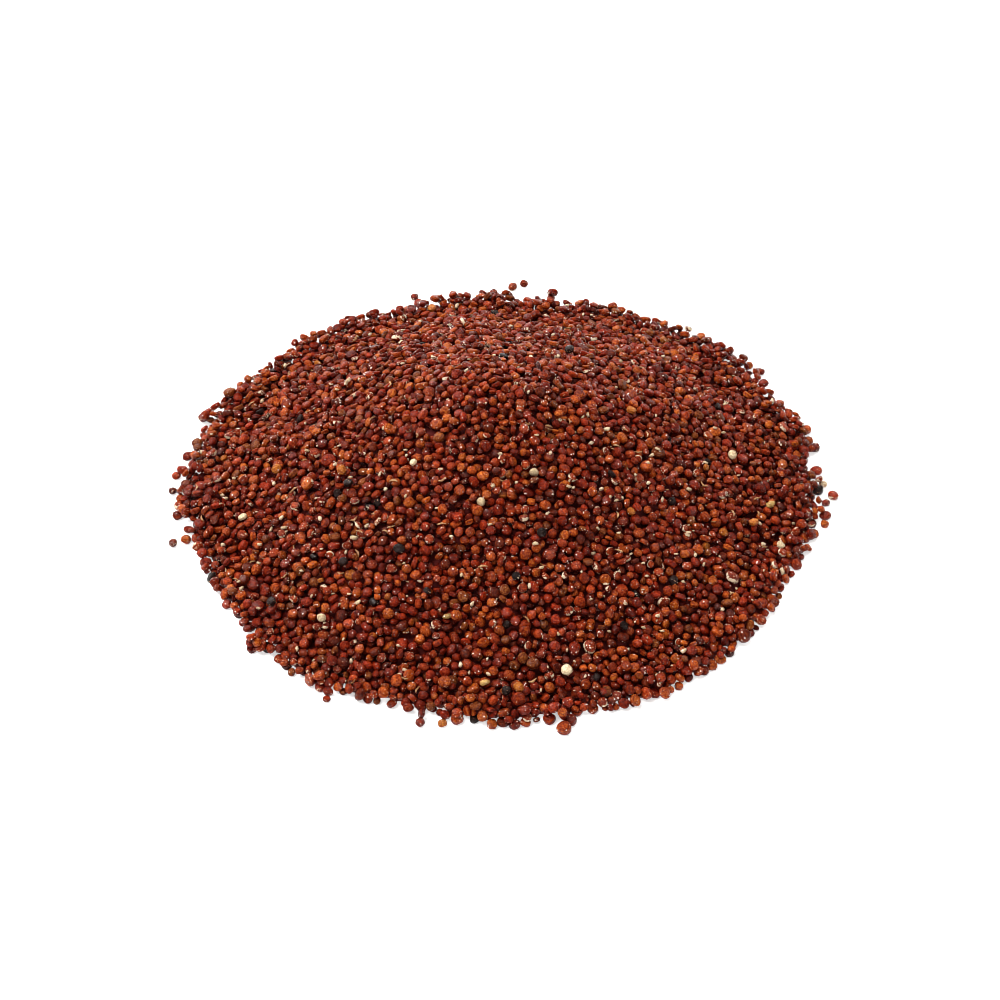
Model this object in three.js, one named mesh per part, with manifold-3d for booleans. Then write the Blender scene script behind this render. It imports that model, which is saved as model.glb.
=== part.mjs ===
// A loose heap of dry red quinoa, poured out on a flat surface, in millimetres.
// The origin is the middle of the heap's footprint, on the surface that it lies on, with +Z up.
//
// The grains are far too many to model one by one, so the heap is one solid: a rounded cone at the
// grain's angle of repose, whose skin is a field of bumps of a grain's size. Whole grains at true
// size stand round its foot and make the uneven outline. The few grains that rolled clear of the
// heap are solids of their own.

import * as THREE from 'three';
import { mergeVertices } from 'three/addons/utils/BufferGeometryUtils.js';
import Module from 'manifold-3d';

const wasm = await Module();
wasm.setup();

// Driving dimensions
const GRAIN_DIAMETER = 2.0;
const GRAIN_THICKNESS = 1.2;
const HEAP_DIAMETER = 118; // the foot of the smooth form, inside the grains that stand round it
const HEAP_HEIGHT = 25.6; // the crown of the smooth form, under the bumps
const SLOPE = 27; // degrees, on the straight part of the flank
const SEED = 7;

// The footprint is nearly round. Each lobe makes it swell by so many millimetres, so many times
// round the heap, first at the angle given in degrees from +X.
const LOBES = [
  { times: 3, swell: 0.7, at: 32 },
  { times: 6, swell: 0.3, at: -4 },
  { times: 8, swell: 0.2, at: 4 },
  { times: 13, swell: 0.4, at: -11 },
];

// The skin
const BUMP_SPACING = 2.5; // from one bump to the next
const BUMP_DEPTH = 1.0; // from the top of a bump to the gap beside it
const BUMP_UNEVENNESS = 0.4; // share of the depth that a bump may stand high or low
const BUMP_WANDER = 0.25; // share of the grid that a bump may lie off its place
const GRID_TURN = 17; // degrees, so that the rows of bumps follow neither axis

// The grains at the foot
const GRAIN_SIDES = 8;
const FOOT_GRAINS = 56;
const FOOT_OVERHANG = { least: -0.3, most: 0.35 }; // of a grain's diameter, past the smooth form
const GRAIN_TILT = 20; // degrees, at most
const SUNK = 0.12; // how far a lying grain is let into the surface, which leaves it a flat spot
const CLEARANCE = 0.35; // kept between the heap and a grain that lies apart

// The grains that stand out farthest from the foot, and their size beside a common grain
const LEANING = [
  { x: 61.7, y: -6.5, size: 0.97 },
  { x: 61.3, y: -8.7, size: 0.8 },
  { x: -1.3, y: 59.2, size: 0.85 },
  { x: -58.2, y: 21.3, size: 0.92 },
  { x: -60.4, y: 10.2, size: 0.86 },
  { x: -60.8, y: -3.9, size: 0.9 },
  { x: -60.9, y: -6.5, size: 0.9 },
  { x: -42.2, y: -41.4, size: 0.98 },
  { x: -32.1, y: -51.4, size: 0.9 },
  { x: 2.5, y: -60.3, size: 0.95 },
  { x: 11.2, y: -61.3, size: 1.23 },
];

// The grains that lie apart: where, how large beside a common grain, and what they are
const STRAYS = [
  { x: 63.6, y: -1.1, size: 1.05, kind: 'red' },
  { x: 62.1, y: -3.0, size: 0.93, kind: 'red' },
  { x: 61.9, y: 2.3, size: 0.62, kind: 'pale' },
  { x: 52.0, y: 35.4, size: 0.85, kind: 'red' },
  { x: 49.8, y: 37.2, size: 0.85, kind: 'red' },
  { x: 4.9, y: 63.3, size: 0.88, kind: 'red' },
  { x: 2.6, y: 62.1, size: 0.97, kind: 'red' },
  { x: -17.5, y: 58.9, size: 0.9, kind: 'red' },
  { x: -62.2, y: 4.7, size: 0.81, kind: 'red' },
  { x: -62.6, y: 0.4, size: 0.83, kind: 'red' },
  { x: -61.5, y: -14.0, size: 0.91, kind: 'red' },
  { x: -45.1, y: -41.7, size: 1.02, kind: 'red' },
  { x: -31.0, y: -54.2, size: 0.88, kind: 'red' },
  { x: -14.2, y: -60.0, size: 0.96, kind: 'red' },
];

// A red quinoa grain's dry coat is a dull brick red, and a pale one's the cream of white quinoa.
const MATERIALS = {
  red: new THREE.MeshStandardMaterial({ color: 0x8f3b22, roughness: 0.55, metalness: 0 }),
  pale: new THREE.MeshStandardMaterial({ color: 0xd9c79c, roughness: 0.6, metalness: 0 }),
};

const { degToRad, seededRandom, lerp } = THREE.MathUtils;
seededRandom(SEED);

// A draw from the two sides of zero, as far apart as the range
function spread(range) {
  return range * (seededRandom() - 0.5);
}

// From the middle to the edge of the footprint, at an angle in radians
function edgeRadius(angle) {
  return LOBES.reduce(
    (radius, { times, swell, at }) => radius + swell * Math.cos(times * (angle - degToRad(at))),
    HEAP_DIAMETER / 2
  );
}

// Height of the heap's smooth form over a point of the footprint: a hyperbola turned about +Z, which
// rounds the crown and runs out into the straight flank. Outside the footprint it is below zero.
function formHeight(x, y) {
  const share = Math.hypot(x, y) / edgeRadius(Math.atan2(y, x));
  const flank = (HEAP_DIAMETER / 2) * Math.tan(degToRad(SLOPE));
  const crown = (flank ** 2 - HEAP_HEIGHT ** 2) / (2 * HEAP_HEIGHT);
  return HEAP_HEIGHT + crown - Math.hypot(crown, flank * share);
}

function isClearOfStrays(x, y, reach) {
  return STRAYS.every((stray) => {
    const apart = Math.hypot(stray.x - x, stray.y - y);
    return apart > reach + (stray.size * GRAIN_DIAMETER) / 2 + CLEARANCE;
  });
}

// A closed mesh as a solid that can be joined and cut
function solidOf(geometry) {
  const bare = geometry.clone();
  bare.deleteAttribute('normal');
  bare.deleteAttribute('uv');
  const merged = mergeVertices(bare, 1e-4);
  return new wasm.Manifold(
    new wasm.Mesh({
      numProp: 3,
      vertProperties: new Float32Array(merged.attributes.position.array),
      triVerts: new Uint32Array(merged.index.array),
    })
  );
}

function geometryOf(solid) {
  const { vertProperties, triVerts } = solid.getMesh();
  return new THREE.BufferGeometry()
    .setAttribute('position', new THREE.BufferAttribute(vertProperties, 3))
    .setIndex(new THREE.BufferAttribute(triVerts, 1));
}

// The heap under its bumpy skin. The skin is a square grid, where every second point is the top of
// a bump and the rest are the gaps. Past the foot it dips below the surface, and from its border a
// fan of faces closes it at a point far down.
function skinGeometry() {
  const step = BUMP_SPACING / Math.SQRT2;
  const half = Math.ceil(HEAP_DIAMETER / 2 / step) + 2;
  const side = 2 * half + 1;
  const lowest = -2 * BUMP_DEPTH;
  const isBump = (column, row) => (column + row) % 2 === 0;

  const points = [];
  for (let row = 0; row < side; row++) {
    for (let column = 0; column < side; column++) {
      const point = new THREE.Vector2(column - half, row - half).multiplyScalar(step);
      point.rotateAround(new THREE.Vector2(), degToRad(GRID_TURN));
      point.x += spread(2 * BUMP_WANDER * step);
      point.y += spread(2 * BUMP_WANDER * step);
      const lift = (isBump(column, row) ? 0.5 : -0.5) + spread(BUMP_UNEVENNESS);
      const height = formHeight(point.x, point.y) + BUMP_DEPTH * lift;
      const sinks = height < lowest || !isClearOfStrays(point.x, point.y, step / 2);
      points.push(new THREE.Vector3(point.x, point.y, sinks ? lowest : height));
    }
  }
  const farDown = points.length;
  points.push(new THREE.Vector3(0, 0, -HEAP_DIAMETER));

  const faces = [];
  for (let row = 0; row < side - 1; row++) {
    for (let column = 0; column < side - 1; column++) {
      const a = row * side + column;
      const [b, c, d] = [a + 1, a + side + 1, a + side];
      // The diagonal joins two gaps, so that each bump has four sides of its own.
      if (isBump(column, row)) faces.push(a, b, d, b, c, d);
      else faces.push(a, b, c, a, c, d);
    }
  }
  const last = side - 1;
  for (let i = 0; i < last; i++) {
    faces.push(i + 1, i, farDown);
    faces.push((i + 1) * side + last, i * side + last, farDown);
    faces.push(last * side + i, last * side + i + 1, farDown);
    faces.push(i * side, (i + 1) * side, farDown);
  }
  return new THREE.BufferGeometry().setFromPoints(points).setIndex(faces);
}

// A grain that lies on the surface at a point, tilted and turned as it fell: a thick lens with a
// blunt rim, about thirty faces in all
function lyingGrain({ x, y, size }, tilt) {
  const radius = (size * GRAIN_DIAMETER) / 2;
  const half = (size * GRAIN_THICKNESS) / 2;
  const profile = [
    new THREE.Vector2(0, -half),
    new THREE.Vector2(0.96 * radius, -0.42 * half),
    new THREE.Vector2(0.96 * radius, 0.42 * half),
    new THREE.Vector2(0, half),
  ];
  const grain = new THREE.LatheGeometry(profile, GRAIN_SIDES)
    .rotateX(Math.PI / 2 + spread(2 * degToRad(tilt)))
    .rotateY(spread(2 * degToRad(tilt)))
    .rotateZ(2 * Math.PI * seededRandom());
  grain.computeBoundingBox();
  return grain.translate(x, y, -grain.boundingBox.min.z - SUNK);
}

// Everything below the surface that the heap lies on
function ground() {
  const size = 3 * HEAP_DIAMETER;
  return solidOf(new THREE.BoxGeometry(size, size, size).translate(0, 0, -size / 2));
}

// Grains in a ring along the foot, some half out of it and some almost wholly in
function ringOfGrains() {
  return Array.from({ length: FOOT_GRAINS }, (_, i) => {
    const angle = (2 * Math.PI * (i + spread(0.6))) / FOOT_GRAINS;
    const { least, most } = FOOT_OVERHANG;
    const distance = edgeRadius(angle) + GRAIN_DIAMETER * lerp(least, most, seededRandom());
    return {
      x: distance * Math.cos(angle),
      y: distance * Math.sin(angle),
      size: 1 + spread(0.3),
    };
  });
}

function heapGeometry() {
  const grains = [...LEANING, ...ringOfGrains()].filter(({ x, y, size }) =>
    isClearOfStrays(x, y, (size * GRAIN_DIAMETER) / 2)
  );
  const whole = grains
    .reduce((heap, grain) => heap.add(solidOf(lyingGrain(grain, GRAIN_TILT))), solidOf(skinGeometry()))
    .subtract(ground());
  const [heap] = whole.decompose().sort((a, b) => b.volume() - a.volume());
  return geometryOf(heap);
}

const quinoa = new THREE.Group();

const heap = new THREE.Mesh(heapGeometry(), MATERIALS.red);
heap.name = 'quinoa_heap';
quinoa.add(heap);

STRAYS.forEach(({ x, y, size, kind }, i) => {
  const grain = solidOf(lyingGrain({ x: 0, y: 0, size }, GRAIN_TILT / 2)).subtract(ground());
  const stray = new THREE.Mesh(geometryOf(grain), MATERIALS[kind]);
  stray.name = `stray_grain_${String(i + 1).padStart(2, '0')}`;
  stray.position.set(x, y, 0);
  quinoa.add(stray);
});

export default quinoa;
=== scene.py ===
import math

import bpy
import numpy as np
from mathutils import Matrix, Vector


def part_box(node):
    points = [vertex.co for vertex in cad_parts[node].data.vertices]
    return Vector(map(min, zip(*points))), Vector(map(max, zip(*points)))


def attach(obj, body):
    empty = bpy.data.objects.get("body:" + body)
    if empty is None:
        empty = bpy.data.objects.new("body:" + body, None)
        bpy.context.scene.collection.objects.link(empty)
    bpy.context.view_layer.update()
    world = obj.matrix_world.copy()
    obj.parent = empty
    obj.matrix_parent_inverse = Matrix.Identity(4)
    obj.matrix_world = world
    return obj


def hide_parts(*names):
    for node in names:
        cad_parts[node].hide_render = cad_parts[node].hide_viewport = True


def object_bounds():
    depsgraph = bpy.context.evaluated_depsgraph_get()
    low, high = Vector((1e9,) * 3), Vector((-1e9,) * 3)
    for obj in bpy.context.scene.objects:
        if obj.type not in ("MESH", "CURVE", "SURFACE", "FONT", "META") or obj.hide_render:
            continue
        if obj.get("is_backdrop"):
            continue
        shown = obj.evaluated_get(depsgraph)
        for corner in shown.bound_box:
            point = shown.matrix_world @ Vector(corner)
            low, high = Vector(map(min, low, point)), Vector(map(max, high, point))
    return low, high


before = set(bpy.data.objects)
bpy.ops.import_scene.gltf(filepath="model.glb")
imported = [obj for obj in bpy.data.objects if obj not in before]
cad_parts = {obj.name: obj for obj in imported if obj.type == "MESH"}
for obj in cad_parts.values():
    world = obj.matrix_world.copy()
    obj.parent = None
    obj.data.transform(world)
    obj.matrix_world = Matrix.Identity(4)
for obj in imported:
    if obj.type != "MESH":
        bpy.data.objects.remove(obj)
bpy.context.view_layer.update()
bpy.ops.object.select_all(action="DESELECT")
mm = 0.001  # the settings below are in millimetres, the scene is in metres
rng = np.random.default_rng(31)

# The heap's smooth form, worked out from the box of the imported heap. It is a rounded cone at the
# angle of repose of dry quinoa, and its footprint swells a little here and there.
heapLow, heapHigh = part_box("quinoa_heap")
heap = {
    "standOut": 1.8,  # how far the outermost grains stand out past the smooth form
    "standUp": 0.9,  # and how far the topmost ones stand up above it
    "slope": 27,
    "swells": [  # how many times round the footprint, by how many mm, and first at what angle
        (3, 0.7, 32), (6, 0.3, -4), (8, 0.2, 4), (13, 0.4, -11), (1, 0.6, -32),
        (2, 0.45, 13), (4, 0.3, 40), (5, 0.3, 18), (10, 0.3, -16), (14, 0.3, -8),
    ],
}
heapAcross = (heapHigh.x - heapLow.x) + (heapHigh.y - heapLow.y)
heap["footRadius"] = heapAcross / 4 / mm - heap["standOut"]
heap["crown"] = heapHigh.z / mm - heap["standUp"]


def edgeRadius(angle):
    swell = sum(by * np.cos(times * (angle - math.radians(at))) for times, by, at in heap["swells"])
    return heap["footRadius"] + swell


def formHeight(x, y):
    share = np.hypot(x, y) / edgeRadius(np.arctan2(y, x))
    flank = heap["footRadius"] * math.tan(math.radians(heap["slope"]))
    rounding = (flank ** 2 - heap["crown"] ** 2) / (2 * heap["crown"])
    return heap["crown"] + rounding - np.hypot(rounding, flank * share)


def formNormal(x, y, step=0.5):
    east = (formHeight(x + step, y) - formHeight(x - step, y)) / (2 * step)
    north = (formHeight(x, y + step) - formHeight(x, y - step)) / (2 * step)
    return np.array([-east, -north, 1]) / math.sqrt(east ** 2 + north ** 2 + 1)


# Materials

def linear(hexColour):
    parts = [int(hexColour[i:i + 2], 16) / 255 for i in (0, 2, 4)]
    return [c / 12.92 if c <= 0.04045 else ((c + 0.055) / 1.055) ** 2.4 for c in parts] + [1]


def addNode(tree, kind, settings=None, **inputs):
    node = tree.nodes.new(kind)
    for key, value in (settings or {}).items():
        setattr(node, key, value)
    for key, value in inputs.items():
        socket = node.inputs[int(key[1:]) if key[1:].isdigit() else key.replace("_", " ")]
        if isinstance(value, bpy.types.NodeSocket):
            tree.links.new(value, socket)
        else:
            socket.default_value = value
    return node


def newMaterial(name):
    material = bpy.data.materials.new(name)
    material.use_nodes = True
    material.node_tree.nodes.clear()
    return material, material.node_tree


# The seed coat of quinoa is thin, dry and hard: a satin skin with fine wrinkles, which break its
# gloss up into small glints. Its colour is darkened at the rim and in the groove round each face
# as painted shade, and the wrinkles carry painted shade in their furrows and painted light on their
# ridges. It is blotched where it has rubbed. Where it has torn, the pale germ shows along the rim.
# Down in the gaps between the grains it is painted deep brown, as painted shade where light comes
# back only from other coats. Its pale specks are partly dust and partly painted glints, drawn
# coarser than in life so that they show, and its worn flecks also stand in for small highlights.
coat = {
    "blotch": 0.9, "wrinkle": 0.31, "fleck": 0.38, "tear": 1.3,  # size of each pattern, mm
    "speck": 0.15, "speckApart": 0.9,  # a speck, partly dust and partly a painted glint, and the way to the next, mm
    "relief": 0.22,  # from a wrinkle to the ridge beside it, mm
    # scar is the germ where the coat is torn; the worn flecks and the dust specks also carry
    # painted glints
    "scar": "dcc8a8", "wornAndGlint": "c89474", "dustAndGlint": "f4e2d6", "glint": "ffd8c0",
    # painted shade and light on the coat's colour: brightness from the middle of a face to its rim,
    # along the wrinkles, and down in a gap
    "ring": {0: 0.94, 0.45: 1.0, 0.62: 0.96, 0.72: 0.68, 0.8: 1.0, 0.92: 0.96, 1: 0.58},
    "furrow": 0.58, "ridge": 1.42,
    "paintedGapShade": 0.3,
    "roughness": 0.42,
}
mixed = {"data_type": "RGBA"}
multiplied = {"data_type": "RGBA", "blend_type": "MULTIPLY"}
product = {"operation": "MULTIPLY"}
productPlus = {"operation": "MULTIPLY_ADD"}


def deepened(value):  # darkens green and blue more than red, for the painted shade
    return (value ** 0.75, value ** 1.8, value ** 2.0, 1)


# pattern is how much of the painted shade of the ring and the wrinkles shows, and the last
# argument how much of the specks of dust and painted glints
def coatMaterial(name, dark, light, pattern=1.0, dustAndGlints=1.0):
    material, tree = newMaterial(name)
    place = addNode(tree, "ShaderNodeTexCoord").outputs["Object"]
    tone, across, peel, deep = [
        addNode(tree, "ShaderNodeAttribute", {"attribute_name": key}).outputs["Fac"]
        for key in ("tone", "across", "peel", "deep")
    ]
    blotch, wrinkle, fleck, tear = [
        addNode(tree, "ShaderNodeTexNoise", Vector=place, Scale=1 / (coat[key] * mm), Detail=1.0)
        .outputs["Fac"]
        for key in ("blotch", "wrinkle", "fleck", "tear")
    ]

    # the skin: a shade of the coat's own, with painted shade in a ring on each face, and painted
    # shade and light along the wrinkles
    patch = addNode(tree, "ShaderNodeMath", productPlus, _0=blotch, _1=1.6, _2=-0.8)
    share = addNode(tree, "ShaderNodeMath", {"operation": "ADD", "use_clamp": True},
                    _0=tone, _1=patch.outputs[0])
    skin = addNode(tree, "ShaderNodeMix", mixed, _0=share.outputs[0],
                   _6=linear(dark), _7=linear(light))
    # painted shade: darker at the rim and in the groove round each face
    ring = addNode(tree, "ShaderNodeValToRGB", Fac=across)
    stops = ring.color_ramp.elements
    for position in list(coat["ring"])[1:-1]:
        stops.new(position)
    for stop, value in zip(stops, coat["ring"].values()):
        stop.color = deepened(value)
    # painted shade and light: darker in the furrows of the wrinkles, lighter on their ridges
    furrow = addNode(tree, "ShaderNodeMapRange", Value=wrinkle, From_Min=0.38, From_Max=0.62)
    lines = addNode(tree, "ShaderNodeMix", mixed, _0=furrow.outputs[0],
                    _6=deepened(coat["furrow"]), _7=(*[coat["ridge"]] * 3, 1))
    depth = addNode(tree, "ShaderNodeMix", multiplied,
                    _0=1.0, _6=ring.outputs["Color"], _7=lines.outputs[2])
    shaded = addNode(tree, "ShaderNodeMix", multiplied,
                     _0=pattern, _6=skin.outputs[2], _7=depth.outputs[2])

    # the wear and painted glints: worn flecks that also stand in for small highlights, clusters
    # of specks that are partly dust and partly painted glints, and tears along the rim
    scuffAndGlint = addNode(tree, "ShaderNodeMath", productPlus, _0=peel, _1=0.25, _2=fleck)
    scuffAndGlint = addNode(tree, "ShaderNodeMapRange", Value=scuffAndGlint.outputs[0],
                    From_Min=0.71, From_Max=0.75, To_Max=0.7)
    scuffedAndGlinting = addNode(tree, "ShaderNodeMix", mixed, _0=scuffAndGlint.outputs[0],
                      _6=shaded.outputs[2], _7=linear(coat["wornAndGlint"]))
    # specks that are partly dust and partly painted glints
    specks = addNode(tree, "ShaderNodeTexVoronoi", Vector=place,
                     Scale=1 / (coat["speckApart"] * mm))
    reach = coat["speck"] / coat["speckApart"]
    speck = addNode(tree, "ShaderNodeMapRange", Value=specks.outputs["Distance"],
                    From_Min=1.3 * reach, From_Max=0.7 * reach, To_Max=dustAndGlints)
    cluster = addNode(tree, "ShaderNodeMapRange", Value=tear,
                      From_Min=0.46, From_Max=0.58, To_Min=0.1)
    speck = addNode(tree, "ShaderNodeMath", product, _0=speck.outputs[0], _1=cluster.outputs[0])
    dustedAndGlinting = addNode(tree, "ShaderNodeMix", mixed, _0=speck.outputs[0],
                     _6=scuffedAndGlinting.outputs[2], _7=linear(coat["dustAndGlint"]))
    rim = addNode(tree, "ShaderNodeMapRange", {"interpolation_type": "SMOOTHSTEP"},
                  Value=across, From_Min=0.86, From_Max=0.96)
    torn = addNode(tree, "ShaderNodeMath", {"operation": "ADD"}, _0=tear, _1=peel)
    torn = addNode(tree, "ShaderNodeMath", productPlus, _0=wrinkle, _1=0.8, _2=torn.outputs[0])
    torn = addNode(tree, "ShaderNodeMapRange", Value=torn.outputs[0], From_Min=1.2, From_Max=1.26)
    bare = addNode(tree, "ShaderNodeMath", product, _0=torn.outputs[0], _1=rim.outputs[0])
    colour = addNode(tree, "ShaderNodeMix", mixed, _0=bare.outputs[0],
                     _6=dustedAndGlinting.outputs[2], _7=linear(coat["scar"]))
    # painted shade: the deeper a point lies in a gap, the darker its colour
    paintedGapShade = addNode(tree, "ShaderNodeMix", multiplied,
                     _0=deep, _6=colour.outputs[2], _7=deepened(coat["paintedGapShade"]))

    # the gloss: satin all over, with a thin polish where the coat has been rubbed
    height = addNode(tree, "ShaderNodeMath", productPlus,
                     _0=ring.outputs["Color"], _1=0.8, _2=wrinkle)
    bump = addNode(tree, "ShaderNodeBump", Strength=1.0, Distance=coat["relief"] * mm,
                   Height=height.outputs[0])
    gloss = addNode(tree, "ShaderNodeMapRange", Value=blotch, From_Min=0.3, From_Max=0.7,
                    To_Min=coat["roughness"] - 0.1, To_Max=coat["roughness"] + 0.14)
    rubbed = addNode(tree, "ShaderNodeMapRange", Value=tear,
                     From_Min=0.42, From_Max=0.6, To_Min=0.06, To_Max=0.5)
    shader = addNode(tree, "ShaderNodeBsdfPrincipled", Base_Color=paintedGapShade.outputs[2],
                     Roughness=gloss.outputs[0], IOR=1.45, Specular_IOR_Level=0.08,
                     Specular_Tint=linear(coat["glint"]), Coat_Weight=rubbed.outputs[0],
                     Coat_Roughness=0.08, Coat_IOR=1.4, Normal=bump.outputs[0],
                     Coat_Normal=bump.outputs[0])
    addNode(tree, "ShaderNodeOutputMaterial", Surface=shader.outputs[0])
    return material


def plainMaterial(name, colour, roughness, glow=0.0):
    material, tree = newMaterial(name)
    shader = addNode(tree, "ShaderNodeBsdfPrincipled", Base_Color=linear(colour),
                     Roughness=roughness, Emission_Strength=glow)
    addNode(tree, "ShaderNodeOutputMaterial", Surface=shader.outputs[0])
    return material


# Stage: a white light table that runs out past the camera's view, under broad soft light

stage = {
    "floor": 4000, "cameraDistance": 600, "cameraHeight": 42.96, "aim": (0, -1.59, 0),
    "lens": 113.1, "blur": 0.5, "air": 0.56, "glow": 0.5,
    "lamps": [
        # a soft panel above the heap
        {"from": (-0.4, 0, 0.92), "power": 3.08, "spread": 40},
        # a pale wall, which the far side mirrors
        {"from": (-0.35, 0.86, 0.37), "power": 0.5, "spread": 50},
        # two small lamps, whose glints lie on the rims of the grains
        {"from": (-0.6, 0.6, 0.53), "power": 1.85, "spread": 6},
        {"from": (0.4, 0.65, 0.65), "power": 0.75, "spread": 5},
    ],
}
bpy.ops.mesh.primitive_plane_add(size=stage["floor"] * mm)
floor = bpy.context.object
floor.name = "floor"
floor.data.materials.append(plainMaterial("lit white acrylic", "f4f4f2", 0.75, stage["glow"]))
floor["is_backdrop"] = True

rise = math.radians(stage["cameraHeight"])
aim = Vector(stage["aim"]) * mm
back = Vector((0, -math.cos(rise), math.sin(rise)))
bpy.ops.object.camera_add(location=aim + back * stage["cameraDistance"] * mm,
                          rotation=(math.pi / 2 - rise, 0, 0))
camera = bpy.context.object
camera.data.lens = stage["lens"]
camera.data.clip_end = 20
bpy.context.scene.camera = camera

for lamp in stage["lamps"]:
    facing = (-Vector(lamp["from"])).to_track_quat("-Z", "Y").to_euler()
    bpy.ops.object.light_add(type="SUN", rotation=facing)
    bpy.context.object.data.energy = lamp["power"]
    bpy.context.object.data.angle = math.radians(lamp["spread"])
world = bpy.data.worlds.new("soft white room")
world.use_nodes = True
world.node_tree.nodes["Background"].inputs["Color"].default_value = (1, 1, 1, 1)
world.node_tree.nodes["Background"].inputs["Strength"].default_value = stage["air"]
bpy.context.scene.world = world
bpy.context.scene.view_settings.view_transform = "Standard"
bpy.context.scene.cycles.filter_width = stage["blur"]
print("stage ready")

# Everything that repeats is modelled once, from a sphere. Before it is shaped, the sphere gives it
# a tidy texture map: the top half and the underside, each unrolled to a disc.

grain = {
    "radius": 1.13, "thickness": 1.24, "segments": 12, "rings": 6, "crease": 0.013,
    "profile": [(0.72, 0.92), (0.93, 0.58)],  # each ring's radius and height
    "middle": 0.88,  # and the height of the middle of the face
}
chip = {"radius": 0.38, "segments": 6, "rings": 4, "crease": 0.12,
        "size": (1.25, 0.72, 0.5), "square": 1.3, "squareFrom": 0.6}
sliver = {"radius": 0.55, "segments": 6, "rings": 6, "crease": 0.03,
          "size": (1.3, 0.26, 0.2), "bow": 0.35}
straw = {"radius": 0.9, "segments": 8, "rings": 8, "crease": 0.02,
         "size": (1, 0.52, 0.42), "blunt": 0.8, "bluntFrom": 0.3}
snap = 0.01 * mm  # a point this close to a level or to the axis is on it


def selectWhere(mesh, test):
    bpy.ops.mesh.select_all(action="DESELECT")
    bpy.ops.object.mode_set(mode="OBJECT")
    for v in mesh.vertices:
        v.select = bool(test(v.co))
    bpy.ops.object.mode_set(mode="EDIT")


def newSphere(thing):
    bpy.ops.mesh.primitive_uv_sphere_add(segments=thing["segments"], ring_count=thing["rings"],
                                         radius=thing["radius"] * mm)
    mesh = bpy.context.object.data
    co = np.array([v.co for v in mesh.vertices]) / (thing["radius"] * mm)
    polar = np.arccos(np.clip(np.abs(co[:, 2]), 0, 1)) / (math.pi / 2)
    around = np.arctan2(co[:, 1], co[:, 0])
    thing["disc"] = np.stack([polar * np.cos(around), polar * np.sin(around)], 1)
    thing["faces"] = [list(p.vertices) for p in mesh.polygons]
    thing["isUpper"] = [co[face, 2].mean() > 0 for face in thing["faces"]]
    bpy.ops.object.mode_set(mode="EDIT")
    bpy.ops.mesh.select_mode(type="VERT")
    return bpy.context.object


def takePoints(thing, made):
    bpy.ops.object.mode_set(mode="OBJECT")
    points = np.array([v.co for v in made.data.vertices]) / mm
    bpy.data.objects.remove(made)
    out = np.hypot(points[:, 0], points[:, 1])
    thing["points"], thing["across"] = points, out / out.max()


# a grain of quinoa: a thick disc, each of whose faces is a little hollow inside a raised ring
made = newSphere(grain)
for number, (radius, height) in enumerate(grain["profile"], 1):
    polar = number * math.pi / grain["rings"]
    level = math.cos(polar) * grain["radius"] * mm
    selectWhere(made.data, lambda co: abs(abs(co.z) - level) < snap)
    wider = radius / math.sin(polar)
    bpy.ops.transform.resize(value=(wider, wider, height / math.cos(polar)))
selectWhere(made.data, lambda co: math.hypot(co.x, co.y) < snap)
bpy.ops.transform.resize(value=(1, 1, grain["middle"]))
bpy.ops.mesh.select_all(action="SELECT")
bpy.ops.transform.resize(value=(1, 1, grain["thickness"] / 2 / grain["radius"]))
takePoints(grain, made)

# a chip of bare germ: a small block with worn corners
made = newSphere(chip)
selectWhere(made.data, lambda co: abs(co.z) > chip["squareFrom"] * chip["radius"] * mm)
bpy.ops.transform.resize(value=(chip["square"], chip["square"], 1))
bpy.ops.mesh.select_all(action="SELECT")
bpy.ops.transform.resize(value=chip["size"])
takePoints(chip, made)

# a sliver of husk: a thin bowed strip
made = newSphere(sliver)
bpy.ops.mesh.select_all(action="SELECT")
bpy.ops.transform.resize(value=sliver["size"])
bpy.ops.object.mode_set(mode="OBJECT")
for v in made.data.vertices:
    v.co.y += sliver["bow"] * v.co.x ** 2 / (sliver["radius"] * mm)
takePoints(sliver, made)

# a straw seed: a long oval, blunter at one end
made = newSphere(straw)
bpy.ops.mesh.select_all(action="SELECT")
bpy.ops.transform.resize(value=straw["size"])
selectWhere(made.data, lambda co: co.x > straw["bluntFrom"] * straw["radius"] * mm)
bpy.ops.transform.resize(value=(straw["blunt"], 1 / straw["blunt"], 1))
takePoints(straw, made)

# No two of a kind are alike, so each is pulled about into a set of shapes.
variety = {
    "shapes": 40, "oval": 0.06, "flat": 0.1, "wedge": 0.08,
    "beak": 0.08, "beakWidth": 0.45,  # the tip of the germ, which stands out, and its angle
    "waves": 3, "pull": 0.04, "turns": (1.2, 3.2),
    "outermost": 88,  # per cent of the points lie within the radius
}


def pulledAbout(points, crease):
    radius = np.hypot(points[:, 0], points[:, 1]).max()
    made = points * (1 + rng.normal(0, (variety["oval"], 0, variety["flat"])))
    made[:, 2] *= 1 + rng.normal(0, variety["wedge"]) * points[:, 0] / radius
    beak = np.exp(-(np.arctan2(points[:, 1], points[:, 0]) / variety["beakWidth"]) ** 2)
    made[:, 0] += abs(rng.normal(0, variety["beak"])) * beak * np.maximum(points[:, 0], 0)
    for _ in range(variety["waves"]):
        way = rng.normal(0, 1, 3)
        turn = rng.uniform(*variety["turns"])
        push = np.sin(points @ way / radius * turn + rng.uniform(0, 2 * math.pi))
        made = made + points * (variety["pull"] * push)[:, None]
    made = made + radius * rng.normal(0, crease, made.shape)
    return made * radius / np.percentile(np.hypot(made[:, 0], made[:, 1]), variety["outermost"])


for thing in (grain, chip, sliver, straw):
    thing["shapes"] = np.array([pulledAbout(thing["points"], thing["crease"])
                                for _ in range(variety["shapes"])])
print("shapes ready")

# Poses that a thing may lie in. Each keeps its underside and its top as small height maps, so
# that it can be let down until it touches what is below. A grain tends to lie along the slope.

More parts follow.
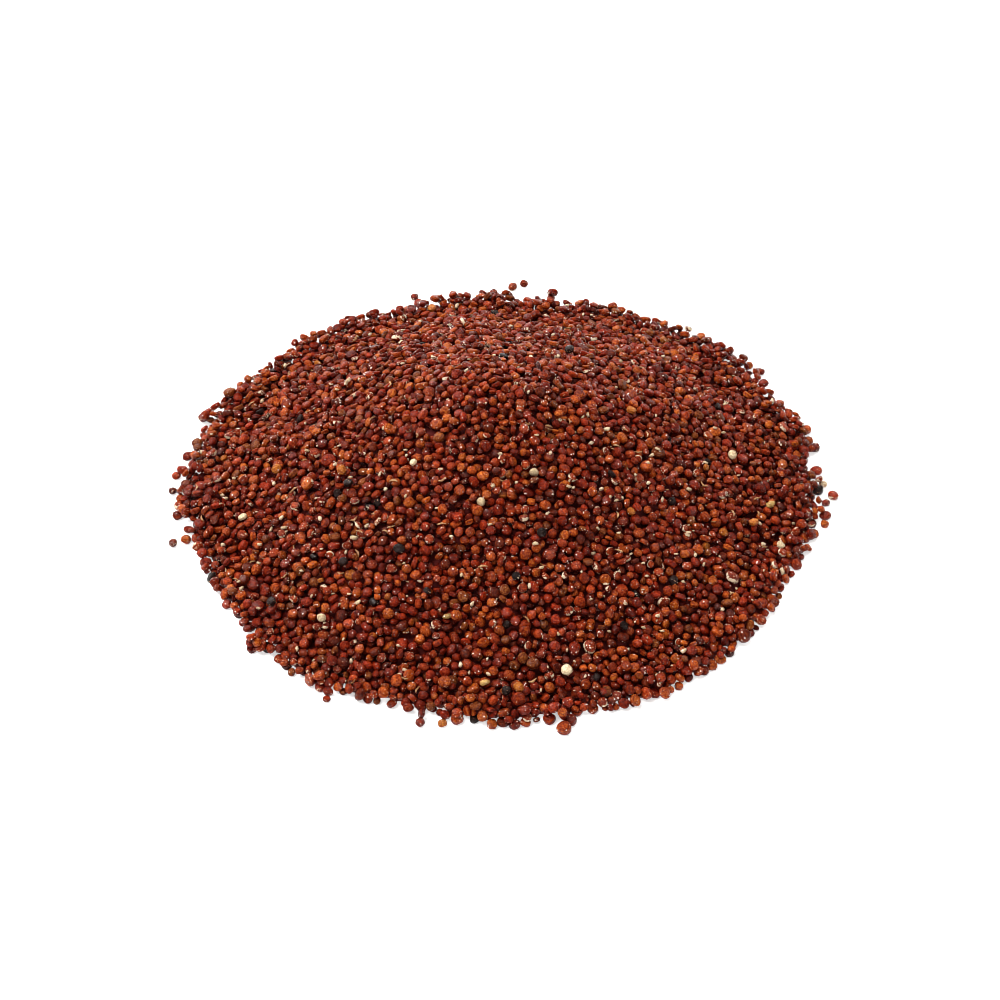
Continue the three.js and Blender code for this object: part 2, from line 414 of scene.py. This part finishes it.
pile = {
    "cell": 0.12, "window": 28,  # of the height maps: mm, and cells along a side
    "tuck": 0.92,  # how narrow a thing is for its neighbours, so that they lie close
    "alike": 0.05,  # how near a pose is in size to the one asked for
    "outside": 100,  # what a place past the foot counts for, in mm of height
}
grain["lie"] = {"poses": 1500, "steepest": 85, "flatness": 4.6,
                "spread": 0.15, "range": (0.6, 1.28)}
chip["lie"] = {"poses": 140, "steepest": 60, "flatness": 2,
               "spread": 0.33, "range": (0.45, 1.7)}
sliver["lie"] = {"poses": 90, "steepest": 45, "flatness": 4,
                 "spread": 0.25, "range": (0.6, 1.4)}
straw["lie"] = {"poses": 20, "steepest": 20, "flatness": 4,
                "spread": 0.06, "range": (0.9, 1.1)}
window = np.arange(pile["window"]) - pile["window"] // 2
farOff = 1e3  # past any height of the pile, mm


def turned(tiltWay, tilt, spin):
    c, s = math.cos(spin), math.sin(spin)
    about = np.array([[c, -s, 0], [s, c, 0], [0, 0, 1]])
    ax, ay = math.cos(tiltWay), math.sin(tiltWay)
    c, s = math.cos(tilt), math.sin(tilt)
    lean = np.array([
        [c + ax * ax * (1 - c), ax * ay * (1 - c), ay * s],
        [ax * ay * (1 - c), c + ay * ay * (1 - c), -ax * s],
        [-ay * s, ax * s, c],
    ])
    return lean @ about


def surfaceSpots(thing, steps=6):
    corners = np.array([[face[0], face[i], face[i + 1]]
                        for face in thing["faces"] for i in range(1, len(face) - 1)])
    spots = [(i, j, steps - i - j) for i in range(steps + 1) for j in range(steps + 1 - i)]
    return corners, np.array(spots) / steps


def heightMaps(points, corners, spots):
    sampled = np.einsum("sc,tcx->stx", spots, points[corners]).reshape(-1, 3)
    cells = np.floor(sampled[:, :2] * pile["tuck"] / pile["cell"] + pile["window"] // 2).astype(int)
    under = np.full((pile["window"],) * 2, farOff)
    over = np.full((pile["window"],) * 2, -farOff)
    np.minimum.at(under, (cells[:, 1], cells[:, 0]), sampled[:, 2])
    np.maximum.at(over, (cells[:, 1], cells[:, 0]), sampled[:, 2])
    return under, over


def makePoses(thing):
    lie = thing["lie"]
    count = lie["poses"]
    shape = rng.integers(0, variety["shapes"], count)
    size = np.clip(rng.normal(1, lie["spread"], count), *lie["range"])
    steepest = math.cos(math.radians(lie["steepest"]))
    turns = np.array([
        turned(rng.uniform(0, 2 * math.pi), math.acos(rng.uniform(steepest, 1)),
               rng.uniform(0, 2 * math.pi))
        for _ in range(count)
    ])
    lie["points"] = np.einsum("pij,pvj->pvi", turns, thing["shapes"][shape] * size[:, None, None])
    lie["axis"], lie["size"] = turns[:, :, 2], size
    corners, spots = surfaceSpots(thing)
    maps = [heightMaps(points, corners, spots) for points in lie["points"]]
    lie["under"], lie["over"] = np.array([m[0] for m in maps]), np.array([m[1] for m in maps])


for thing in (grain, chip, sliver, straw):
    makePoses(thing)

# The heap is poured grain by grain over a core that lies a few grains deep. Out of a few places
# near its own, each is let down where it comes to lie lowest, on the core, grains or the table.

pour = {
    "rounds": 12, "spacing": 1.7,
    "margin": 9,  # of the map of the pile, past its foot
    "search": ((14, 0.75), (10, 0.22)),  # how many places are tried, and how far round
    "depth": 2.5,  # of the grains over the core
    "under": 0.3,  # the pile's level runs so far under the smooth form
    "slack": 0.15,  # a grain is dropped wherever the pile isn't so far above its level yet
    "high": 0.3,  # and doesn't stay if its middle is farther above it than this
    "flat": 0.72,  # a grain whose middle is lower than this lies on the table
    "covered": 0.3,  # where the pile is lower than this the table shows
    "rim": 0.8, "overFoot": 0.5,  # how far past the foot a grain may lie, and be dropped
    "ragged": 0.5, "raggedMost": 0.6, "raggedSteps": 180,  # unevenness of the foot
    "lip": 1.8, "lipPower": 12, "lipMost": 1.1,  # the foot is full and steep, not a thin edge
}
# the last rounds cover the table between the foot and a grain beyond
gapPour = {"rounds": 6, "width": 1.6, "high": 2.0, "rim": 2.5, "overFoot": 2}
halfSide = int((heap["footRadius"] + pour["margin"]) / pile["cell"])
ticks = (np.arange(2 * halfSide) - halfSide + 0.5) * pile["cell"]
cellX, cellY = np.meshgrid(ticks, ticks)
edgeShare = np.hypot(cellX, cellY) / edgeRadius(np.arctan2(cellY, cellX))
lip = pour["lip"] * np.minimum(edgeShare, pour["lipMost"]) ** pour["lipPower"]
target = formHeight(cellX, cellY) - pour["under"] + lip
surface = np.maximum(target - pour["depth"], 0)
raggedEdge = rng.normal(0, pour["ragged"], pour["raggedSteps"])


def cellOf(x, y):
    return (np.floor(y / pile["cell"]).astype(int) + halfSide,
            np.floor(x / pile["cell"]).astype(int) + halfSide)


def letDown(lie, poses, rows, columns):
    below = surface[(rows[:, None] + window)[:, :, None], (columns[:, None] + window)[:, None, :]]
    return (below - lie["under"][poses]).max((1, 2))


def beyondEdge(x, y):
    angle = np.arctan2(y, x)
    ragged = np.interp(angle, np.linspace(-math.pi, math.pi, pour["raggedSteps"]), raggedEdge)
    return np.hypot(x, y) - edgeRadius(angle) - np.minimum(ragged, pour["raggedMost"])


def likelyPoses(lie, normal, count, size=None):
    odds = np.exp(lie["flatness"] * (lie["axis"] @ normal - 1))
    if size:
        odds *= np.exp(-((lie["size"] - size) / pile["alike"]) ** 2)
    return rng.choice(len(odds), count, p=odds / odds.sum())


def setDown(thing, pose, row, column, height):
    lie = thing["lie"]
    at = ((column - halfSide) * pile["cell"], (row - halfSide) * pile["cell"], height)
    spot = np.ix_(row + window, column + window)
    surface[spot] = np.maximum(surface[spot], height + lie["over"][pose])
    thing.setdefault("laid", []).append((int(pose), *map(float, at)))
    return len(thing["laid"]) - 1


def lay(thing, x, y, high=math.inf, search=pour["search"], size=None, rim=pour["rim"]):
    lie = thing["lie"]
    normal = formNormal(x, y)
    best = None
    for tries, reach in search:
        tryX = x + rng.uniform(-reach, reach, tries)
        tryY = y + rng.uniform(-reach, reach, tries)
        poses = likelyPoses(lie, normal, tries, size)
        rows, columns = cellOf(tryX, tryY)
        heights = letDown(lie, poses, rows, columns)
        above = heights - target[rows, columns]
        score = above + pile["outside"] * (beyondEdge(tryX, tryY) > rim)
        k = int(np.argmin(score))
        if best is None or score[k] < best[0]:
            best = (score[k], above[k], poses[k], rows[k], columns[k], heights[k])
            x, y = tryX[k], tryY[k]
    score, above, pose, row, column, height = best
    onTable = height < pour["flat"] and score < pile["outside"] / 2
    if above > high and not onTable:
        return None
    return setDown(thing, pose, row, column, height)


# Grains that lie on the table by themselves or stand out from the foot: the ones that the CAD has
# as nodes of their own first, each with its coat, and then where, how large and in what coat.
apart = ["cherry", "oxblood", "cream", "oxblood", "orange", "brick", "rust", "cherry", "brick",
         "maroon", "maroon", "oxblood", "cherry", "oxblood"]
outlying = [
    (61.7, -6.5, 0.97, "oxblood"), (61.4, -8.8, 0.78, "orange"), (60.9, 5.8, 1.05, "cherry"),
    (60.8, 0.4, 0.95, "black"), (59.9, 17.8, 0.92, "rust"), (60.0, 14.6, 0.9, "orange"),
    (61.2, 12.6, 0.85, "oxblood"), (-1.3, 60.2, 0.83, "brick"), (1.8, 59.6, 0.75, "maroon"),
    (10.4, 58.6, 0.78, "rust"), (-58.2, 21.3, 0.92, "brick"), (-57.6, 16.2, 0.86, "rust"),
    (-58.9, 14.1, 0.95, "brown"), (-60.4, 10.3, 0.86, "oxblood"), (-60.2, 1.9, 0.95, "maroon"),
    (-60.9, -1.8, 0.86, "rust"), (-61.0, -4.0, 0.9, "peeled"), (-61.1, -6.5, 0.9, "brick"),
    (-58.8, -10.4, 0.86, "cherry"), (-59.1, -13.1, 0.95, "orange"), (-42.3, -41.5, 0.98, "black"),
    (-39.9, -44.4, 0.95, "peeled"), (-32.2, -51.5, 0.9, "peeled"), (-10.2, -60.2, 0.76, "amber"),
    (-7.6, -59.2, 1.1, "rust"), (-4.5, -59.2, 0.86, "black"), (-1.4, -60.6, 0.9, "orange"),
    (0.6, -60.0, 1.05, "maroon"), (2.6, -60.6, 0.95, "oxblood"), (4.5, -60.0, 0.95, "rust"),
    (11.3, -61.7, 1.2, "rust"), (12.4, -59.7, 1.05, "oxblood"),
]
table = {"upright": 0.95, "choices": 6}  # a grain's axis is at least so upright on the table


def layOnTable(x, y, size):
    lie = grain["lie"]
    unlike = np.abs(lie["size"] - size) + 10 * (lie["axis"][:, 2] < table["upright"])
    pose = int(rng.choice(np.argsort(unlike)[:table["choices"]]))
    row, column = cellOf(np.array(x), np.array(y))
    height = -lie["points"][pose][:, 2].min()
    setDown(grain, pose, int(row), int(column), float(height))
    last = grain["laid"][-1]
    grain["laid"][-1] = (last[0], x, y, last[3])


coatOf = []
for i, kind in enumerate(apart, 1):
    low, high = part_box(f"stray_grain_{i:02d}")
    layOnTable((low.x + high.x) / 2 / mm, (low.y + high.y) / 2 / mm,
               (high.x - low.x + high.y - low.y) / 4 / mm / grain["radius"])
    coatOf.append(kind)
for x, y, size, kind in outlying:
    layOnTable(x, y, size)
    coatOf.append(kind)

gridSide = int(2 * heap["footRadius"] / pour["spacing"]) + 4
grid = np.stack(np.meshgrid(*[np.arange(gridSide)] * 2), -1).reshape(-1, 2) - gridSide / 2
for turn in range(pour["rounds"] + gapPour["rounds"]):
    rules = pour if turn < pour["rounds"] else gapPour
    places = grid * pour["spacing"]
    places = places + rng.uniform(-0.5, 0.5, places.shape) * pour["spacing"]
    here = cellOf(*places.T)
    out = np.hypot(*places.T)
    past = out - edgeRadius(np.arctan2(places[:, 1], places[:, 0]))
    if rules is pour:
        isLow = surface[here] < np.maximum(target[here] + pour["slack"], pour["covered"])
    else:
        beyond = cellOf(*(places * (1 + gapPour["width"] / np.maximum(out, 1))[:, None]).T)
        isLow = (surface[here] < pour["covered"]) & (surface[beyond] > pour["covered"])
    places = places[isLow & (past < rules["overFoot"])]
    rng.shuffle(places)
    for x, y in places:
        lay(grain, x, y, rules["high"], rim=rules["rim"])
    print("poured", len(grain["laid"]), "grains")

# What catches the eye lies on top: grains, with size and coat, bare germs, with size, and straw
# seeds.
onTop = [
    (12.1, -51.2, 0.95, "cream"), (44.3, 2.4, 0.75, "cream"), (-32.3, -38.6, 0.72, "cream"),
    (-15.7, -12.7, 0.66, "cream"), (-26.7, -24.8, 0.62, "cream"), (-29.2, -9.4, 0.95, "amber"),
    (47.5, -14.0, 0.9, "amber"), (3.4, -55.1, 0.9, "amber"), (52.4, -16.7, 0.72, "cream"),
    (7.4, -27.8, 0.85, "black"), (3.2, -34.7, 0.78, "black"), (-13.0, -36.8, 0.78, "black"),
    (-28.3, -28.7, 0.82, "black"), (-28.2, -12.6, 0.8, "black"), (13.7, 24.4, 0.85, "black"),
    (-18.4, -28.8, 0.9, "black"), (1.2, -55.1, 0.78, "black"), (22.2, -42.2, 0.75, "black"),
    (-41.5, -34.4, 0.85, "black"), (-36.1, -9.5, 1.15, "orange"), (-9.8, -53.3, 1.08, "orange"),
    (-7.9, -42.1, 1.0, "orange"), (10.5, 25.2, 1.0, "orange"),
]
bareGerms = [(-33.3, -18.4, 1.5), (-42.8, -16.0, 1.4), (-40.3, -17.1, 1.4), (6.5, -29.3, 1.3),
             (-51.6, -17.4, 1.6), (-25.4, -36.7, 1.4), (22.8, -38.0, 1.5)]
strawSeeds = [(-9.5, -41.3), (51.1, -7.9), (-2.7, -53.5)]
kindByNumber = dict(enumerate(coatOf))
for x, y, size, kind in onTop:
    kindByNumber[lay(grain, x, y, search=((10, 0.3),), size=size)] = kind
for x, y, size in bareGerms:
    lay(chip, x, y, search=((3, 0.2),), size=size)
for x, y in strawSeeds:
    lay(straw, x, y, search=((8, 0.2),))

# chips of germ and slivers of husk lie all over, most of them on the front
scraps = {"chips": 250, "slivers": 70, "onFront": 0.8, "inside": 0.5, "reach": 0.4}
for thing, count in ((chip, scraps["chips"]), (sliver, scraps["slivers"])):
    for _ in range(count):
        angle = rng.uniform(0, math.pi) * (-1 if rng.uniform() < scraps["onFront"] else 1)
        out = math.sqrt(rng.uniform()) * (edgeRadius(angle) - scraps["inside"])
        lay(thing, out * math.cos(angle), out * math.sin(angle), search=((3, scraps["reach"]),))
print("scraps laid")

# What the grains are: shares of all, and colours from dark to light

kinds = {
    "brick": {"share": 0.2, "dark": "5c1a06", "light": "963812"},
    "rust": {"share": 0.19, "dark": "66200a", "light": "a04a16"},
    "cherry": {"share": 0.16, "dark": "561206", "light": "8c2a0a"},
    "oxblood": {"share": 0.145, "dark": "480e05", "light": "782209"},
    "maroon": {"share": 0.07, "dark": "3c0e07", "light": "642409"},
    "orange": {"share": 0.085, "dark": "78320c", "light": "a8581c"},
    "brown": {"share": 0.05, "dark": "52240a", "light": "7e4419"},
    "peeled": {"share": 0.06, "dark": "5c1a08", "light": "943a18", "peel": 0.27},
    "amber": {"share": 0.003, "dark": "8c4c12", "light": "a86a2c", "pattern": 0.8},
    "black": {"share": 0.0035, "dark": "0e0706", "light": "241917", "peel": 0.04, "dustAndGlints": 0.12},
    "cream": {"share": 0.0004, "dark": "b8a680", "light": "dccea8", "pattern": 0.45},
}


# How deep each point lies in the gaps: from level with the grains round it to the bottom of a gap.
# The coat's colour is darkened by it as painted shade.
gap = {"around": 1.6, "bottom": 0.52}  # mm
meanLevel = surface
for axis in (0, 1):
    cells = int(gap["around"] / pile["cell"])
    meanLevel = np.apply_along_axis(np.convolve, axis, meanLevel, np.ones(cells) / cells, "same")


def depthInGap(points):
    beneath = meanLevel[cellOf(points[..., 0], points[..., 1])] - points[..., 2]
    return np.clip(beneath / gap["bottom"], 0, 1).ravel()


own = {"tone": (0.14, 0.86), "peelSpread": 0.06}  # what differs from one grain to the next
unroll = {"disc": 0.45, "upper": (0.5, 0.5), "lower": (1.5, 0.5)}  # two discs in each tile


def joinThings(name, thing, picked, material, peel=0.0, node="quinoa_heap"):
    laid = np.array(thing["laid"])[picked]
    points = thing["lie"]["points"][laid[:, 0].astype(int)] + laid[:, None, 1:]
    count, corners = points.shape[:2]
    faces = [[v + i * corners for v in face] for i in range(count) for face in thing["faces"]]
    mesh = bpy.data.meshes.new(name)
    mesh.from_pydata((points.reshape(-1, 3) * mm).tolist(), [], faces)
    mesh.polygons.foreach_set("use_smooth", [True] * len(faces))
    values = {
        "tone": np.repeat(rng.uniform(*own["tone"], count), corners),
        "across": np.tile(thing["across"], count),
        "peel": np.repeat(peel + rng.normal(0, own["peelSpread"], count), corners),
        # how deep in a gap each point lies, which darkens the coat as painted shade
        "deep": depthInGap(points),
    }
    for key, value in values.items():
        stored = mesh.attributes.new(key, "FLOAT", "POINT")
        stored.data.foreach_set("value", value.astype(np.float32))
    # each thing has its own tile of the texture map, two wide: the upper disc and the lower
    columns = math.ceil(math.sqrt(count / 2))
    rows = math.ceil(count / columns)
    discs = np.concatenate([
        thing["disc"][face] * unroll["disc"] + unroll["upper" if isUpper else "lower"]
        for face, isUpper in zip(thing["faces"], thing["isUpper"])
    ])
    tile = np.stack([np.arange(count) % columns * 2, np.arange(count) // columns], 1)
    places = (discs[None] + tile[:, None]) / (2 * columns, rows)
    uvMap = mesh.uv_layers.new(name="OFBake")
    uvMap.data.foreach_set("uv", places.astype(np.float32).ravel())
    mesh.materials.append(material)
    piece = bpy.data.objects.new(name, mesh)
    bpy.context.collection.objects.link(piece)
    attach(piece, "root")
    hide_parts(node)
    return piece


# Grains that no gap shows are left out.
hidden = {"depth": 0.1, "cells": 2}  # all but so many cells of its top lie deeper than this, mm


def isSeen(thing, pose, x, y, z):
    row, column = cellOf(np.array(x), np.array(y))
    spot = np.ix_(row + window, column + window)
    shows = z + thing["lie"]["over"][pose] > surface[spot] - hidden["depth"]
    return shows.sum() > hidden["cells"]


total = len(grain["laid"])
seen = np.array([isSeen(grain, *laid) for laid in grain["laid"]])
shares = np.array([kind["share"] for kind in kinds.values()])
names = list(kinds)
kindOf = rng.choice(len(kinds), total, p=shares / shares.sum())
for number, kind in kindByNumber.items():
    kindOf[number] = names.index(kind)
skins = {
    kind: coatMaterial(f"{kind} quinoa seed coat", settings["dark"], settings["light"],
                       settings.get("pattern", 1.0), settings.get("dustAndGlints", 1.0))
    for kind, settings in kinds.items()
}
for index, (kind, settings) in enumerate(kinds.items()):
    picked = np.flatnonzero((kindOf == index) & seen & (np.arange(total) >= len(apart)))
    joinThings(f"{kind}Grains", grain, picked, skins[kind],
               settings.get("peel", 0))
    print(kind, len(picked), "grains")
for number, kind in enumerate(apart, 1):
    joinThings(f"strayGrain{number:02d}", grain, [number - 1], skins[kind],
               kinds[kind].get("peel", 0.1),
               f"stray_grain_{number:02d}")
germ = coatMaterial("bare quinoa germ", "bca680", "e4d4b2", pattern=0.4)
husk = coatMaterial("dry quinoa husk", "84542e", "bc9a6c", pattern=0.6)
hull = coatMaterial("straw seed hull", "7c6434", "b89a5c", pattern=0.5)
for name, thing, material in (("germChips", chip, germ), ("huskSlivers", sliver, husk),
                              ("strawSeeds", straw, hull)):
    joinThings(name, thing, np.arange(len(thing["laid"])), material)
print("joined", seen.sum(), "of", total, "grains")

# The core fills the heap under the grains, and shows only between them: its dark colour is
# painted shade, the darkness of the deep gaps.

core = {
    "spacing": 0.8, "margin": 1,
    "bump": 0.5, "sunk": 0.8,  # its top is uneven, mostly downwards
    "inset": 0.7, "lip": 0.3,  # it ends so far inside the foot, and stands so high there
    # painted shade: the darkness of the deep gaps
    "colour": "580a03",
}
coreSize = 2 * (heap["footRadius"] + core["margin"])
bpy.ops.mesh.primitive_grid_add(x_subdivisions=int(coreSize / core["spacing"]),
                                y_subdivisions=int(coreSize / core["spacing"]),
                                size=coreSize * mm)
corePiece = bpy.context.object
corePiece.name = "heapCore"
bpy.ops.object.mode_set(mode="EDIT")
bpy.ops.mesh.select_mode(type="VERT")
selectWhere(corePiece.data, lambda co: beyondEdge(co.x / mm, co.y / mm) > -core["inset"])
bpy.ops.mesh.delete(type="VERT")
bpy.ops.mesh.select_all(action="SELECT")
bpy.ops.mesh.delete_loose()
bpy.ops.mesh.select_all(action="SELECT")
bpy.ops.mesh.extrude_region_move(TRANSFORM_OT_translate={"value": (0, 0, mm)})
bpy.ops.object.mode_set(mode="OBJECT")
for v in corePiece.data.vertices:
    if v.co.z > 0.5 * mm:
        uneven = core["bump"] * (rng.uniform() - core["sunk"])
        top = formHeight(v.co.x / mm, v.co.y / mm) - pour["depth"] + uneven
        v.co.z = max(top, core["lip"]) * mm
corePiece.data.materials.append(plainMaterial("shaded quinoa seed coat", core["colour"], 1.0))
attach(corePiece, "root")
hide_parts("quinoa_heap")
print("core ready")

low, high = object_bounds()
